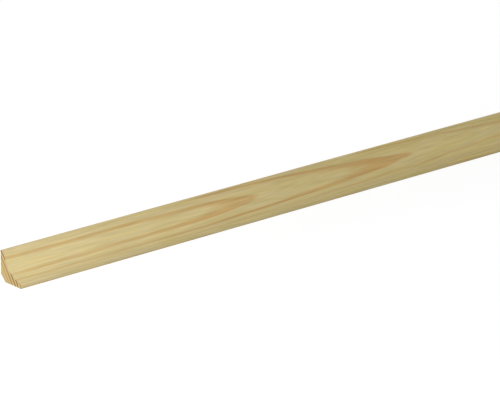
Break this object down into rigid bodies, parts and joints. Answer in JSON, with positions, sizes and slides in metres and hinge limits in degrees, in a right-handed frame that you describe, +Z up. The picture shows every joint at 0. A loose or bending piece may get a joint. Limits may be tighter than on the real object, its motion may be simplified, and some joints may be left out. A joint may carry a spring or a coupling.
{
  "type": "cove moulding",
  "caption": "Straight length of planed pine trim with a hollow front face between square lips and flat back faces, for covering the inside corner where a wall meets a ceiling or floor.",
  "frame": {"origin": "middle of the length, on the floor, half way between the front lip and the upright back face", "axes": "+X along the length, +Y out of the upright back face, +Z up from the lower back face that it lies on; the hollow looks to -Y and +Z"},
  "size_m": [0.9, 0.02, 0.02],
  "materials": {
    "pine": "planed, unfinished"
  },
  "bodies": {
    "root": {"cove_moulding": "pine"}
  },
  "joints": []
}
